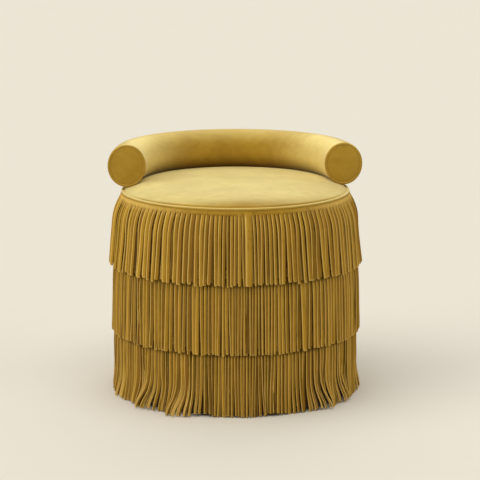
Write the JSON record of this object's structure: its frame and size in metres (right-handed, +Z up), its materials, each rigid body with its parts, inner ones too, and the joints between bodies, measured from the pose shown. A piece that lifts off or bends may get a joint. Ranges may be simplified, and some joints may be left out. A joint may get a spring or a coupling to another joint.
{
  "type": "pouf",
  "caption": "Round suede leather pouf with tiers of cut-strip fringe down to the floor, a domed piped seat and a half-ring bolster back.",
  "frame": {"origin": "on the drum's axis, at the floor under the glides", "axes": "+Z up, -Y towards the front, where the bolster is open, +X to the right of someone facing the front"},
  "size_m": [0.5506, 0.5503, 0.5345],
  "materials": {
    "suede": "matte",
    "plywood": "matte",
    "timber": "matte",
    "foam": "matte",
    "wadding": "matte",
    "dust_cloth": "matte",
    "steel": "satin",
    "nylon": "matte"
  },
  "bodies": {
    "root": {"base_board": "plywood", "base_screws": "steel", "bolster_bolts": "steel", "bolster_core": "plywood", "bolster_cover": "suede", "bolster_end_board_left": "plywood", "bolster_end_board_right": "plywood", "bolster_end_panel_left": "suede", "bolster_end_panel_right": "suede", "bolster_end_screws": "steel", "bolster_foam": "foam", "bolster_inserts": "steel", "bolster_piping_left": "suede", "bolster_piping_right": "suede", "bolster_spacers": "steel", "bolster_washers": "steel", "deck_board": "plywood", "deck_screws": "steel", "drum_wall": "plywood", "dust_cover": "dust_cloth", "fringe_lower": "suede", "fringe_middle": "suede", "fringe_upper": "suede", "glide_1": "nylon", "glide_2": "nylon", "glide_3": "nylon", "glide_4": "nylon", "glide_5": "nylon", "glide_6": "nylon", "glide_screws": "steel", "hoop_lower": "plywood", "hoop_upper": "plywood", "post_1": "timber", "post_2": "timber", "post_3": "timber", "post_4": "timber", "post_5": "timber", "post_6": "timber", "seat_border": "suede", "seat_foam": "foam", "seat_piping": "suede", "seat_top_panel": "suede", "seat_wadding": "wadding", "side_cover": "suede", "side_padding": "wadding"}
  },
  "joints": []
}
